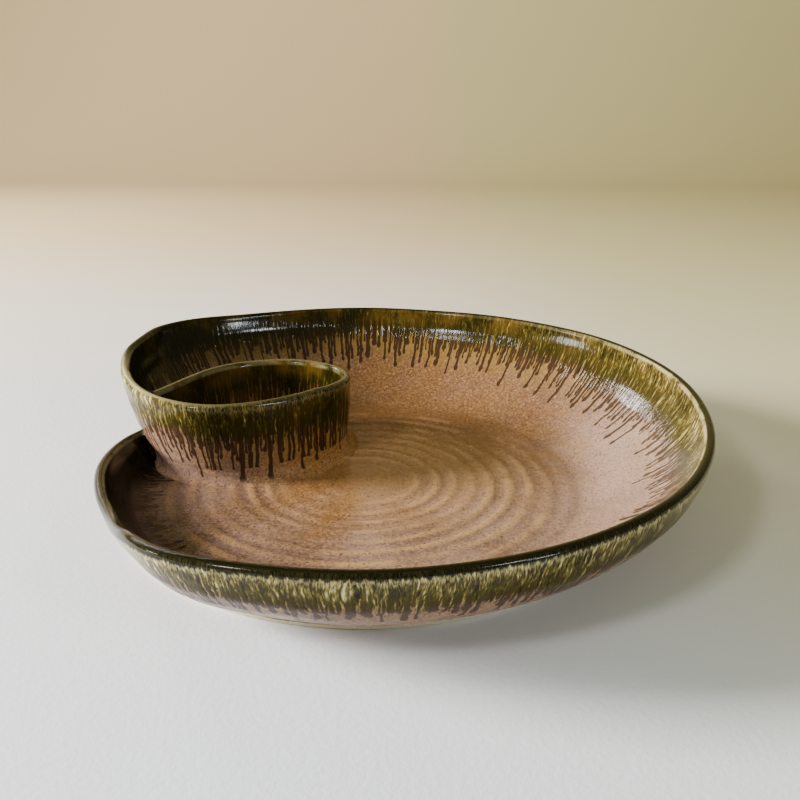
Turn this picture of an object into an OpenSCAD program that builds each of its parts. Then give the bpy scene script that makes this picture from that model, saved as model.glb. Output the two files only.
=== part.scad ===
// Chip and dip server in thrown stoneware.
// A round tray whose wall starts low at the front left, runs once around the floor, rises, and
// curls back in on itself to enclose a small dip bowl. Coils of clay are luted along the joins.
// Frame: +Z up, z = 0 on the table, origin at the middle of the outline, dip bowl towards -X and +Y.

/* [Floor] */
// Height of the tray floor's upper face above the table
floor_top = 7; // [6:0.5:9]
// Underside of the floor slab over the foot ring
slab_under = 5.5; // [4:0.1:5.6]
// Underside of the floor slab inside the foot ring
recess_under = 2.5; // [1.5:0.1:3.5]
// Radius of the thrown slab, inside the rim of clay over the foot
slab_r = 106; // [104:0.5:107]
// How far the slab's edge stands out past the foot
slab_edge = 2.3; // [1:0.1:2.5]
// Distance from one throwing ring to the next
ring_pitch = 8.25; // [6:0.25:12]
// Depth of the grooves between the throwing rings
ring_depth = 0.5; // [0.1:0.1:0.8]

/* [Foot] */
// Radius of the trimmed foot on the table
foot_r = 110.2; // [108:0.1:112]
// Radius of the foot's inner edge
foot_inner_r = 97; // [95:0.5:103]
// Sideways offset of the foot, which was trimmed off the wheel's axis
foot_shift = 3.3; // [0:0.1:3.5]

/* [Wall] */
// Outer radius of the wall where it leaves the foot
base_r = 114; // [112:0.5:117]
// Radius of the rim's centre line along the full wall
rim_r = 149; // [146:0.5:152]
// Height of the rim at the front, from the table
rim_z = 47; // [42:1:52]
// Extra radius of the rim at the back
back_spread = 2.5; // [0:0.5:4]
// Extra height of the rim at the back
back_rise = 6.3; // [0:0.1:8]
// Thickness of the wall at half height
wall_t = 5.6; // [4.5:0.1:6.5]
// Thickness of the wall at its foot
wall_base_t = 6.2; // [5.6:0.1:7]
// Radius of the rounded lip
lip_r = 2.35; // [2:0.05:2.8]
// Width of the cove where the tray wall runs out into the floor
cove_w = 7; // [4:0.5:9]

/* [Dip bowl] */
// Width of the coil along the outside foot of the dip bowl
coil_out = 6.5; // [4:0.5:8]
// Width of the coil along the inside foot of the dip bowl
coil_in = 7; // [4:0.5:9]

/* [Detail] */
// Sections along the tray wall
tray_steps = 92; // [60:4:110]
// Sections along the dip bowl's wall
bowl_steps = 60; // [40:4:70]
// Fineness of the turned surfaces
$fn = 96; // [48:8:128]

/* [Hidden] */

// The middle of the outline, from the axis of the wheel that the floor and the wall are drawn about.
plan_centre = [14, 1.2];

stoneware = [0.80, 0.72, 0.58];
mauve = [0.62, 0.48, 0.42];
olive = [0.33, 0.30, 0.14];

// Keys along the rim's centre line and the wall's outer foot.
// Polar keys of the low end: [angle, rim radius, rim height, foot radius, belly].
low_end = [
    [-191, 113, 21.5, 111.5, 0], [-184, 114, 22.5, 111.3, 0], [-176, 114.6, 23.7, 111, 0],
    [-168, 115, 24.7, 110.8, 0], [-160, 115.2, 25, 110.6, 0], [-152, 115.8, 25.3, 110.4, 0],
    [-144, 117.3, 26.5, 110.4, 0], [-137, 120.8, 29.3, 110.6, 0.05], [-130, 127, 34, 111.2, 0.15],
    [-122, 136.4, 41.5, 112.2, 0.4], [-114, 145.3, 45.7, 113.2, 0.7]
];
// The full wall, front to back, every 15 degrees. It rises and widens past the right-hand side.
full_wall = [for (a = [-105 : 15 : 120]) [a, rim_r + back_spread * smooth((a + 35) / 50),
    rim_z + back_rise * smooth((a + 30) / 60), base_r + 2 * cos(a), smooth((a + 125) / 30)]];
// The last of the tray wall, where the rim is highest and leaves the circle.
high_end = [[131, rim_r + back_spread + 0.5, rim_z + back_rise + 2, base_r - 0.4, 1],
            [141, rim_r, rim_z + back_rise + 2.5, base_r + 0.6, 1]];
tray_polar = concat(low_end, full_wall, high_end);

// Keys of the curl: [rim x, rim y, rim z, foot x, foot y, belly].
curl = [
    [-119.5, 77, 55, -98.5, 62, 0.9],
    [-122.8, 60, 53.3, -103.5, 50.5, 0.75],
    [-120.6, 45, 51.3, -104.5, 38, 0.6],
    [-115.7, 30, 50, -101.5, 25, 0.6],
    [-107.8, 15.3, 49, -95.5, 14, 0.6],
    [-97, 3.5, 48, -87, 5, 0.6],
    [-83, -5, 47.5, -76, -1.2, 0.5],
    [-68, -8, 47, -66, -4.3, 0.5],
    [-54, -5.5, 47, -54.2, -4.8, 0.5],
    [-40, 1, 47, -39.2, -1, 0.5],
    [-26, 11, 47, -24.3, 9.1, 0.5],
    [-15, 24, 46.3, -14.4, 23.6, 0.5],
    [-9.5, 39, 45.2, -10.4, 39, 0.5],
    [-12.5, 55, 44.2, -12.2, 54.6, 0.5],
    [-23.5, 68, 43.4, -23.2, 67.8, 0.5],
    [-40, 75, 43, -40.6, 73.6, 0.5],
    [-58, 73, 43, -57.6, 71.8, 0.5],
    [-75, 63, 43.2, -73.6, 62.4, 0.5],
    [-87, 43, 44, -85.6, 43.4, 0.5],
    [-98.6, 14.2, 45, -87.5, 22.6, 0.5]
];

function smooth(x) = let (c = max(0, min(1, x))) c * c * (3 - 2 * c);

function polar_key(k) = let (d = [cos(k[0]), sin(k[0])]) concat(k[1] * d, [k[2]], k[3] * d, [k[4]]);
KEYS = concat([for (k = tray_polar) polar_key(k)], curl);
SEAM = len(tray_polar) + 1;
LAST = len(KEYS) - 1;

// Smooth curve through the keys, u counted in keys.
function key(i) = i < 0 ? 2 * KEYS[0] - KEYS[1] : i > LAST ? 2 * KEYS[LAST] - KEYS[LAST - 1] : KEYS[i];
function along(u) =
    let (i = min(floor(u), LAST - 1), f = u - i)
    let (a = key(i - 1), b = key(i), c = key(i + 1), d = key(i + 2))
    b + 0.5 * f * (c - a + f * (2 * a - 5 * b + 4 * c - d + f * (3 * (b - c) + d - a)));
function flat_unit(v) = [v[0], v[1]] / norm([v[0], v[1]]);

// A station: [foot point, outward normal, along-the-wall direction, lean, drift, rim height, belly].
function station(u) =
    let (k = along(u), d = flat_unit(along(min(u + 0.05, LAST)) - along(max(u - 0.05, 0))))
    let (n = [d[1], -d[0]], foot = [k[3], k[4]])
    let (reach = [k[0], k[1]] + lip_r * n - foot)
    [foot, n, d, reach * n, reach * d, k[2], k[5]];

// Outer face of the wall in its own plane: [out, up, drift], t = 0 at the foot and 1 at the lip.
// A full belly leaves the foot at a low slope and turns upright under the rim.
function out_bend(s, t) = bend(t, 0.36 + 0.26 * s[6], 0.72 + 0.21 * s[6]);
function up_bend(s, t) = bend(t, 0.34 - 0.06 * s[6], 0.64 - 0.06 * s[6]);
function bend(t, p, q) = 3 * (1 - t) * (1 - t) * t * p + 3 * (1 - t) * t * t * q + t * t * t;
function slope(t, p, q) = 3 * (1 - t) * (1 - t) * p + 6 * (1 - t) * t * (q - p) + 3 * t * t * (1 - q);
function wall_h(s) = s[5] - lip_r - floor_top;
function outer(s, t) = [s[3] * out_bend(s, t), floor_top + wall_h(s) * up_bend(s, t), s[4] * out_bend(s, t)];
function facing(s, t) = flat_unit([-wall_h(s) * slope(t, 0.34 - 0.06 * s[6], 0.64 - 0.06 * s[6]),
                                   s[3] * slope(t, 0.36 + 0.26 * s[6], 0.72 + 0.21 * s[6])]);
function thick(t) = t < 0.5 ? wall_base_t + (wall_t - wall_base_t) * smooth(2 * t)
                            : wall_t + (2 * lip_r - wall_t) * smooth(2 * t - 1);
function inner(s, t) = let (o = outer(s, t), f = facing(s, t) * thick(t)) [o[0] + f[0], o[1] + f[1], o[2]];
function lip(s, a) = let (o = outer(s, 1)) [o[0] - lip_r + lip_r * cos(a), o[1] + lip_r * sin(a), o[2]];

// The corner where the inner face would meet the floor, and the cove that rounds it.
COVE_T = 0.2;
function corner(s) =
    let (p = inner(s, COVE_T), f = facing(s, COVE_T))
    [p[0] - (p[1] - floor_top) * min(2, max(-0.2, -f[1] / f[0])), floor_top, p[2]];
function cove(s, w, f) =
    let (p = inner(s, COVE_T), c = corner(s), e = [c[0] - w, floor_top, c[2]])
    (1 - f) * (1 - f) * e + 2 * (1 - f) * f * c + f * f * p;

// One band of points up the outer face and one up the inner face, of the same length.
OUT_T = [0, 0.12, 0.25, 0.38, 0.5, 0.63, 0.76, 0.88, 1];
IN_T = [0.2, 0.35, 0.55, 0.78, 1];
function out_band(s) = concat([for (t = OUT_T) outer(s, t)], [lip(s, 35), lip(s, 75)]);
function in_band(s, w) = concat([for (f = [0, 0.3, 0.6, 0.85]) cove(s, w, f)],
                                [for (t = IN_T) inner(s, t)], [lip(s, 145), lip(s, 105)]);
function placed(s, p) = let (q = s[0] + p[0] * s[1] + p[2] * s[2]) [q[0], q[1], p[1]];
function ring_of(s, w) = [for (p = concat(out_band(s), turned(in_band(s, w)))) placed(s, p)];
function turned(list) = [for (i = [len(list) - 1 : -1 : 0]) list[i]];

// Closed skin over a row of rings with n points each. Ladder caps suit long bands, fans suit coils.
function skin(m, n) = [
    for (i = [0 : m - 2], j = [0 : n - 1], h = [0, 1])
        let (a = i * n + j, b = i * n + (j + 1) % n)
        h == 0 ? [a, b, a + n] : [b, b + n, a + n]
];
function ladder(n, at, flip) = [
    for (j = [0 : n / 2 - 2], h = [0, 1])
        let (a = at + j, b = at + n - 1 - j)
        let (f = h == 0 ? [a, b, a + 1] : [a + 1, b, b - 1])
        flip ? turned(f) : f
];
function fan(n, at, flip) = [
    for (j = [1 : n - 2])
        let (f = [at, at + j + 1, at + j])
        flip ? turned(f) : f
];
function flat_list(lists) = [for (l = lists, p = l) p];

module band_sweep(rings) {
    n = len(rings[0]);
    m = len(rings);
    polyhedron(flat_list(rings), concat(skin(m, n), ladder(n, 0, false), ladder(n, (m - 1) * n, true)));
}

module coil_sweep(rings) {
    n = len(rings[0]);
    m = len(rings);
    polyhedron(flat_list(rings), concat(skin(m, n), fan(n, 0, false), fan(n, (m - 1) * n, true)));
}

function spread(a, b, steps) = [for (i = [0 : steps]) a + (b - a) * i / steps];

// Height on a host wall turned back into its own t, by halving.
function at_height(s, z, inside, lo = 0, hi = 1, left = 14) =
    let (mid = (lo + hi) / 2, p = inside ? inner(s, mid) : outer(s, mid))
    left == 0 ? mid : p[1] < z ? at_height(s, z, inside, mid, hi, left - 1)
                               : at_height(s, z, inside, lo, mid, left - 1);
function on_host(s, z, inside) =
    let (t = at_height(s, z, inside), p = inside ? inner(s, t) : outer(s, t), q = placed(s, p))
    [q[0], q[1], z];

// The outline of a wall's end carried across to the host wall that it is luted to.
function landing(end, near, far, inside) =
    [for (i = [0 : len(end) - 1]) on_host(i < len(end) / 2 ? far : near, end[i][2], inside)];

// Where along the wall the joins are.
START_NEAR = SEAM + 2.4;
START_FAR = SEAM + 1.9;
CURL_NEAR = SEAM + 3.1;
CURL_FAR = SEAM + 2.5;
COIL_START = SEAM + 2.6;

// Moves a piece from the wheel's axis to the part's own frame.
module in_frame() {
    translate([-plan_centre[0], -plan_centre[1], 0])
    children();
}

module tray_floor() {
    inside = foot_inner_r - foot_shift;
    color(mauve)
    in_frame()
    union() {
        rotate_extrude()
        polygon(concat(
            [[0, recess_under], [inside - 1, recess_under], [inside - 0.5, slab_under],
             [slab_r, slab_under], [slab_r, floor_top]],
            [for (r = [12 * ring_pitch : -ring_pitch / 6 : 0])
                [r, floor_top - ring_depth * (0.5 - 0.5 * cos(360 * r / ring_pitch))]]));
        translate([foot_shift, 0, slab_under])
        rotate_extrude()
        translate([foot_inner_r + 4, 0])
        square([foot_r + slab_edge - foot_inner_r - 4, floor_top - slab_under]);
    }
}

module foot_ring() {
    color(stoneware)
    in_frame()
    translate([foot_shift, 0, 0])
    rotate_extrude()
    polygon([[foot_inner_r, 0.6], [foot_inner_r + 0.6, 0], [foot_r - 0.6, 0], [foot_r, 0.6],
             [foot_r + 1.2, slab_under], [foot_inner_r, slab_under]]);
}

module tray_wall() {
    color(olive)
    in_frame()
    band_sweep([for (u = spread(0, SEAM, tray_steps)) ring_of(station(u), cove_w)]);
}

module dip_bowl_wall() {
    color(olive)
    in_frame()
    band_sweep([for (u = spread(SEAM, LAST, bowl_steps)) ring_of(station(u), 0.6)]);
}

module bowl_outer_coil() {
    color(mauve)
    in_frame()
    coil_sweep([for (u = spread(COIL_START, LAST - 0.6, bowl_steps)) let (s = station(u))
        [for (p = [outer(s, 0), [coil_out, floor_top, outer(s, 0)[2]], [coil_out * 0.5, floor_top + 0.9, 0],
                   [coil_out * 0.25, floor_top + 2.4, 0], outer(s, 0.25), outer(s, 0.12)]) placed(s, p)]]);
}

module bowl_inner_coil() {
    color(mauve)
    in_frame()
    coil_sweep([for (u = spread(SEAM + 0.2, LAST - 0.4, bowl_steps)) let (s = station(u))
        [for (p = [cove(s, 0.6, 0), inner(s, COVE_T), cove(s, coil_in, 0.7), cove(s, coil_in, 0.4),
                   cove(s, coil_in, 0)]) placed(s, p)]]);
}

module low_end_coil() {
    end = ring_of(station(0), cove_w);
    color(mauve)
    in_frame()
    band_sweep([landing(end, station(START_NEAR), station(START_FAR), false), end]);
}

module curl_end_coil() {
    end = ring_of(station(LAST), 0.6);
    color(mauve)
    in_frame()
    band_sweep([end, landing(end, station(CURL_NEAR), station(CURL_FAR), true)]);
}

tray_floor();
foot_ring();
tray_wall();
dip_bowl_wall();
bowl_outer_coil();
bowl_inner_coil();
low_end_coil();
curl_end_coil();
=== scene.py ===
"""Looks of the chip and dip server: glazed stoneware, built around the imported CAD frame."""
import math

import bpy
import numpy as np
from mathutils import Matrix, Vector


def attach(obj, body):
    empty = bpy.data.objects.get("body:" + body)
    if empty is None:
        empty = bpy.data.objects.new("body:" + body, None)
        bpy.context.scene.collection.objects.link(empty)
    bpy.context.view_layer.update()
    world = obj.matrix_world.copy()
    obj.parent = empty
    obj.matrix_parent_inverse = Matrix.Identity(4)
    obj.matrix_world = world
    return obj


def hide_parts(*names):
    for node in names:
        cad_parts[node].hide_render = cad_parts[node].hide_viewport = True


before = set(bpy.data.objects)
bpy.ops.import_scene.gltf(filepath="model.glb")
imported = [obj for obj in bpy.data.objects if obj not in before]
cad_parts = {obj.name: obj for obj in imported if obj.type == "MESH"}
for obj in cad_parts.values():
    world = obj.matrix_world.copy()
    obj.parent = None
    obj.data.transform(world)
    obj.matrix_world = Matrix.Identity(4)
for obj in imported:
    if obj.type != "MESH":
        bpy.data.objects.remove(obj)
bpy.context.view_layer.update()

MM = 0.001
BODY = "root"
# The keys below are drawn about the wheel's axis; the frame's origin is at the middle of the outline.
PLAN_CENTRE = (14.0, 1.2, 0.0)

# ---------------------------------------------------------------- the wall's line, in millimetres
# The same keys as the CAD wall: rim x, rim y, rim z, foot x, foot y, belly.
FLOOR_TOP = 7.0
BASE_R = 114.0  # the wall's foot
RIM_R = 149.0
RIM_Z = 47.0
BACK_SPREAD = 2.5  # how much further out the rim is at the back
BACK_RISE = 6.3  # and how much higher
WALL_T = 5.6
WALL_BASE_T = 6.2
LIP_HALF = 2.35  # half the wall's thickness just under the lip
LIP_R = 2.3
COVE_W = 7.0  # how far the cove inside the wall reaches over the floor
COVE_T = 0.2  # where it leaves the wall, as a share of the way up
COIL_OUT = 6.5  # how far the dip bowl's outer coil reaches over the floor
FOOT_R = 110.2
FOOT_INNER_R = 97.0
FOOT_SHIFT = 3.3  # how far the foot ring's middle lies to the right of the wheel's axis
RECESS_UNDER = 2.5  # height of the recess inside the foot ring

LOW_END = [  # angle, rim radius, rim height, foot radius, belly
    (-191, 113, 21.5, 111.5, 0), (-184, 114, 22.5, 111.3, 0), (-176, 114.6, 23.7, 111, 0),
    (-168, 115, 24.7, 110.8, 0), (-160, 115.2, 25, 110.6, 0), (-152, 115.8, 25.3, 110.4, 0),
    (-144, 117.3, 26.5, 110.4, 0), (-137, 120.8, 29.3, 110.6, 0.05), (-130, 127, 34, 111.2, 0.15),
    (-122, 136.4, 41.5, 112.2, 0.4), (-114, 145.3, 45.7, 113.2, 0.7),
]
HIGH_END = [
    (131, RIM_R + BACK_SPREAD + 0.5, RIM_Z + BACK_RISE + 2, BASE_R - 0.4, 1),
    (141, RIM_R, RIM_Z + BACK_RISE + 2.5, BASE_R + 0.6, 1),
]
CURL = [
    (-119.5, 77, 55, -98.5, 62, 0.9), (-122.8, 60, 53.3, -103.5, 50.5, 0.75),
    (-120.6, 45, 51.3, -104.5, 38, 0.6), (-115.7, 30, 50, -101.5, 25, 0.6),
    (-107.8, 15.3, 49, -95.5, 14, 0.6), (-97, 3.5, 48, -87, 5, 0.6), (-83, -5, 47.5, -76, -1.2, 0.5),
    (-68, -8, 47, -66, -4.3, 0.5), (-54, -5.5, 47, -54.2, -4.8, 0.5), (-40, 1, 47, -39.2, -1, 0.5),
    (-26, 11, 47, -24.3, 9.1, 0.5), (-15, 24, 46.3, -14.4, 23.6, 0.5), (-9.5, 39, 45.2, -10.4, 39, 0.5),
    (-12.5, 55, 44.2, -12.2, 54.6, 0.5), (-23.5, 68, 43.4, -23.2, 67.8, 0.5),
    (-40, 75, 43, -40.6, 73.6, 0.5), (-58, 73, 43, -57.6, 71.8, 0.5), (-75, 63, 43.2, -73.6, 62.4, 0.5),
    (-87, 43, 44, -85.6, 43.4, 0.5), (-98.6, 14.2, 45, -87.5, 22.6, 0.5),
]


def smooth(x):
    c = np.clip(x, 0, 1)
    return c * c * (3 - 2 * c)


def polar_key(angle, rim, height, foot, belly):
    c, s = math.cos(math.radians(angle)), math.sin(math.radians(angle))
    return (rim * c, rim * s, height, foot * c, foot * s, belly)


def full_wall_key(angle):
    rim = RIM_R + BACK_SPREAD * smooth((angle + 35) / 50)
    height = RIM_Z + BACK_RISE * smooth((angle + 30) / 60)
    foot = BASE_R + 2 * math.cos(math.radians(angle))
    return (angle, rim, height, foot, smooth((angle + 125) / 30))


TRAY_POLAR = LOW_END + [full_wall_key(a) for a in range(-105, 121, 15)] + HIGH_END
KEYS = np.array([polar_key(*k) for k in TRAY_POLAR] + CURL, float)
LAST = len(KEYS) - 1
SEAM = len(TRAY_POLAR) + 1  # the key where the dip bowl's wall starts
PADDED = np.vstack([2 * KEYS[0] - KEYS[1], KEYS, 2 * KEYS[-1] - KEYS[-2]])


def through_keys(u):
    """Smooth curve through the keys, u counted in keys."""
    i = np.minimum(np.floor(u), LAST - 1).astype(int)
    f = (u - i)[:, None]
    a, b, c, d = (PADDED[i + k] for k in range(4))
    return b + 0.5 * f * (c - a + f * (2 * a - 5 * b + 4 * c - d + f * (3 * (b - c) + d - a)))


def along(u):
    """The same curve, eased over its neighbours so that no key shows as a corner."""
    return sum(w * through_keys(u + o) for w, o in ((0.2, -0.5), (0.6, 0.0), (0.2, 0.5)))


def unit(v):
    return v / np.linalg.norm(v, axis=-1, keepdims=True)


class Station:
    """Planes across the wall, one for each u, with the wall's profile in them.

    A profile point is (outwards, up, along the wall) from the foot, and t goes from 0 there to 1 at the lip.
    """

    def __init__(self, u):
        self.u = np.atleast_1d(np.asarray(u, float))
        k = along(self.u)
        ahead, behind = along(np.minimum(self.u + 0.05, LAST)), along(np.maximum(self.u - 0.05, 0))
        self.d = unit((ahead - behind)[:, :2])
        self.n = np.stack([self.d[:, 1], -self.d[:, 0]], 1)
        self.foot = k[:, 3:5]
        reach = k[:, :2] + LIP_HALF * self.n - self.foot
        self.lean = (reach * self.n).sum(1)
        self.drift = (reach * self.d).sum(1)
        self.h = k[:, 2] - LIP_HALF - FLOOR_TOP
        belly = k[:, 5]
        # how far out and up the two control points of the outer face's curve lie, as shares of the whole
        self.op, self.oq = 0.36 + 0.26 * belly, 0.72 + 0.21 * belly
        self.up, self.uq = 0.34 - 0.06 * belly, 0.64 - 0.06 * belly

    def outer(self, t):
        bo, bu = bend(t, self.op, self.oq), bend(t, self.up, self.uq)
        return np.stack([self.lean * bo, FLOOR_TOP + self.h * bu, self.drift * bo], 1)

    def facing(self, t):
        f = np.stack([-self.h * slope(t, self.up, self.uq), self.lean * slope(t, self.op, self.oq)], 1)
        return unit(f)

    def inner(self, t):
        p = self.outer(t)
        p[:, :2] += self.facing(t) * thickness(t)
        return p

    def lip(self, a):
        """Round lip, a from 0 on the outer face to pi on the inner face."""
        f = self.facing(1.0)
        up = np.stack([f[:, 1], -f[:, 0]], 1)
        p = self.outer(1.0)
        p[:, :2] += LIP_HALF * f - LIP_R * f * math.cos(a) + LIP_R * up * math.sin(a)
        return p

    def cove(self, w, f):
        """Quadratic from the floor, f = 0, up to the inner face, f = 1."""
        p, g = self.inner(COVE_T), self.facing(COVE_T)
        corner = p.copy()
        corner[:, 0] -= (p[:, 1] - FLOOR_TOP) * np.clip(-g[:, 1] / g[:, 0], -0.2, 2)
        corner[:, 1] = FLOOR_TOP
        end = corner.copy()
        end[:, 0] -= w
        return (1 - f) ** 2 * end + 2 * (1 - f) * f * corner + f * f * p

    def placed(self, p):
        xy = self.foot + p[:, :1] * self.n + p[:, 2:3] * self.d
        return np.concatenate([xy, p[:, 1:2]], 1)


def bend(t, p, q):
    """Cubic from 0 to 1 with its inner control values at p and q."""
    return 3 * (1 - t) ** 2 * t * p + 3 * (1 - t) * t * t * q + t ** 3


def slope(t, p, q):
    """The rate of change of bend."""
    return 3 * (1 - t) ** 2 * p + 6 * (1 - t) * t * (q - p) + 3 * t * t * (1 - q)


def thickness(t):
    """The wall's thickness, from its base up to the lip."""
    if t < 0.5:
        return WALL_BASE_T + (WALL_T - WALL_BASE_T) * smooth(2 * t)
    return WALL_T + (2 * LIP_HALF - WALL_T) * smooth(2 * t - 1)


# ---------------------------------------------------------------- floor relief
# Radii of the throwing rings' crests, as measured on the photo's rings and put to scale.
CRESTS = [0, 8, 16.2, 25.2, 35, 43.2, 51.4, 59.8, 68.4, 77.4, 86.8, 97.4]
RING_DEPTH = 0.42


def ring_phase(x, y):
    """Count of rings out to each point, and its radius, both for rings that aren't quite round."""
    r = np.hypot(x, y)
    a = np.arctan2(y, x)
    r = r + 0.5 * np.sin(a + 0.6) + 0.25 * np.sin(3 * a)
    return np.interp(r, CRESTS, np.arange(len(CRESTS))), r


def crest(x, y):
    """1 on a throwing ring's crest, 0 in a groove and beyond the last ring."""
    phase, r = ring_phase(x, y)
    return (0.5 + 0.5 * np.cos(2 * np.pi * phase)) * (1 - smooth((r - 90) / 10)) * smooth((r - 4) / 26)


def floor_z(x, y):
    """Height of the tray's floor, with the grooves between the rings, each deeper on one side."""
    phase, r = ring_phase(x, y)
    uneven = 0.72 + 0.28 * np.sin(np.arctan2(y, x) + 1.9 * phase)
    dip = RING_DEPTH * (0.5 - 0.5 * np.cos(2 * np.pi * phase)) * uneven
    return FLOOR_TOP - dip * (1 - smooth((r - 88) / 10)) * (0.35 + 0.65 * smooth((r - 6) / 40))


# ---------------------------------------------------------------- meshes
def add_mesh(name, verts, faces, fields, normals=None):
    """fields: {attribute: array of floats or of vectors per vertex}. verts in millimetres."""
    mesh = bpy.data.meshes.new(name)
    verts = np.asarray(verts)
    mesh.from_pydata(((verts - PLAN_CENTRE) * MM).tolist(), [], faces)
    mesh.validate()
    fields = dict(fields, crest=crest(verts[:, 0], verts[:, 1]) * smooth((9 - verts[:, 2]) / 2))
    for key, values in fields.items():
        values = np.asarray(values, np.float32)
        kind = "FLOAT_VECTOR" if values.ndim == 2 else "FLOAT"
        data = mesh.attributes.new(key, kind, "POINT").data
        data.foreach_set("vector" if values.ndim == 2 else "value", values.ravel())
    mesh.polygons.foreach_set("use_smooth", np.ones(len(mesh.polygons), bool))
    if normals is not None:
        mesh.normals_split_custom_set_from_vertices(normals.tolist())
    obj = bpy.data.objects.new(name, mesh)
    bpy.context.scene.collection.objects.link(obj)
    return obj


def grid_faces(rows, cols, wrap_rows=False, wrap_cols=False, flip=False):
    """Quads over a grid whose vertex (i, j) has the number i * cols + j."""
    i, j = np.meshgrid(np.arange(rows - (not wrap_rows)), np.arange(cols - (not wrap_cols)), indexing="ij")
    i2, j2 = (i + 1) % rows, (j + 1) % cols
    quad = np.stack([i * cols + j, i * cols + j2, i2 * cols + j2, i2 * cols + j], -1).reshape(-1, 4)
    return (quad[:, ::-1] if flip else quad).tolist()


def grid_normals(p):
    """Normals of a grid of points (n, m, 3), wrapping over m."""
    du = np.gradient(p, axis=0)
    dv = np.roll(p, -1, 1) - np.roll(p, 1, 1)
    return unit(np.cross(du, dv) + 1e-12)


def floor_normal(p):
    """Normal of the tray's floor under each point."""
    e = 0.2
    gx = (floor_z(p[..., 0] + e, p[..., 1]) - floor_z(p[..., 0] - e, p[..., 1])) / (2 * e)
    gy = (floor_z(p[..., 0], p[..., 1] + e) - floor_z(p[..., 0], p[..., 1] - e)) / (2 * e)
    return unit(np.stack([-gx, -gy, np.ones_like(gx)], -1))


def tube_faces(rows, cols, flip=False):
    """The faces of a closed tube: a grid that wraps over its columns, with a cap at each end."""
    first, last = list(range(cols)), list(range((rows - 1) * cols, rows * cols))
    caps = [first, last[::-1]] if flip else [first[::-1], last]
    return grid_faces(rows, cols, wrap_cols=True, flip=flip) + caps


def edge_normals(n, p, first, last):
    """Normals where a face meets its neighbour: row first leaves a wall, row last lies on the floor."""
    n = n.copy()
    n[:, first] = n[:, first + 1]
    n[:, last] = floor_normal(p[:, last])
    return n


def finish_piece(obj, node, material):
    obj.data.materials.append(material)
    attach(obj, BODY)
    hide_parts(node)


# ---------------------------------------------------------------- the wall as one fine grid
OUT_ROWS, LIP_ROWS, IN_ROWS, COVE_ROWS = 44, 13, 36, 16
STEP_U = 0.9  # spacing of the sections along the wall
HIDDEN_Z = 5.9  # the skins end at this height, inside the floor


def wall_rows(s):
    """Points across the wall at every station: outer foot, up, over the lip, down, out into the floor."""
    rows = [s.outer(0) - [1.0, FLOOR_TOP - HIDDEN_Z, 0]]
    rows += [s.outer(t) for t in np.linspace(0, 1, OUT_ROWS)]
    rows += [s.lip(a) for a in np.linspace(0, math.pi, LIP_ROWS)[1:-1]]
    rows += [s.inner(t) for t in np.linspace(1, COVE_T, IN_ROWS)]
    rows += [s.cove(COVE_W, f) for f in np.linspace(1, 0, COVE_ROWS)[1:]]
    rows += [s.cove(COVE_W, 0) + [0.8, HIDDEN_Z - FLOOR_TOP, 0]]
    return np.stack([s.placed(p) for p in rows], 1)


LIP_TOP = OUT_ROWS + LIP_ROWS // 2
COVE_START = 1 + OUT_ROWS + LIP_ROWS - 2 + IN_ROWS - 1
ROWS = COVE_START + COVE_ROWS + 1


def path_length(points, axis=0):
    """Length along a line of points up to each of them, the points being counted along axis."""
    steps = np.linalg.norm(np.diff(points, axis=axis), axis=-1)
    return np.concatenate([np.zeros_like(steps.take([0], axis)), np.cumsum(steps, axis)], axis)


def even_u(u0, u1, step):
    """Values of u from u0 to u1 about step millimetres apart along the rim."""
    fine = np.linspace(u0, u1, 4000)
    length = path_length(along(fine)[:, :2])
    count = max(2, int(length[-1] / step))
    return np.interp(np.linspace(0, length[-1], count + 1), length, fine)


def rim_length(u):
    """Millimetres along the rim from the wall's low end to each u."""
    fine = np.linspace(0, LAST, 6000)
    return np.interp(u, fine, path_length(along(fine)[:, :2]))


RIDGE_PITCH = 8.5
RIDGE_HEIGHT = 0.07
WAVE_DROP = 0.65  # keeps the wavy rim at or below the CAD's


def soften(p, run):
    """Throwing marks and a rim that isn't quite even, as small moves of the wall's points."""
    angle = np.arctan2(p[..., 1], p[..., 0])
    height = np.clip((p[..., 2] - FLOOR_TOP) / 12, 0, 1)
    below_lip = smooth((np.abs(run[..., 1]) - 4) / 8)
    ridge = np.sin(2 * np.pi * run[..., 1] / RIDGE_PITCH + 0.9 * np.sin(angle) + 2 * (run[..., 2] > 0))
    move = RIDGE_HEIGHT * ridge * below_lip * height
    wave = 0.22 * np.sin(3 * angle + 0.7) + 0.13 * np.sin(7 * angle + 2) + 0.08 * np.sin(13 * angle)
    p = p + grid_normals(p) * move[..., None]
    p[..., 2] += height * (wave - WAVE_DROP)
    return p


u_tray = even_u(0, SEAM, STEP_U)
u_bowl = even_u(SEAM, LAST, STEP_U)
u_all = np.concatenate([u_tray, u_bowl[1:]])
seam_at = len(u_tray) - 1
wall = wall_rows(Station(u_all))

arc = path_length(wall, axis=1)
# Where each point lies in the glaze: mm along the rim, mm down from the lip, and which face it is on.
run = np.zeros(wall.shape)
run[..., 0] = rim_length(u_all)[:, None]
run[..., 1] = arc[:, LIP_TOP:LIP_TOP + 1] - arc  # + down the outer face, - down the inner face
run[..., 2] = np.sign(run[..., 1])
wall = soften(wall, run)

cove_f = np.zeros(ROWS)
cove_f[COVE_START:] = smooth(np.arange(ROWS - COVE_START) / (COVE_ROWS - 1))
relief = FLOOR_TOP - floor_z(wall[..., 0], wall[..., 1])
wall[..., 2] -= relief * cove_f[None, :] ** 2
wall_normals = edge_normals(grid_normals(wall), wall, 1, ROWS - 2)

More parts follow.
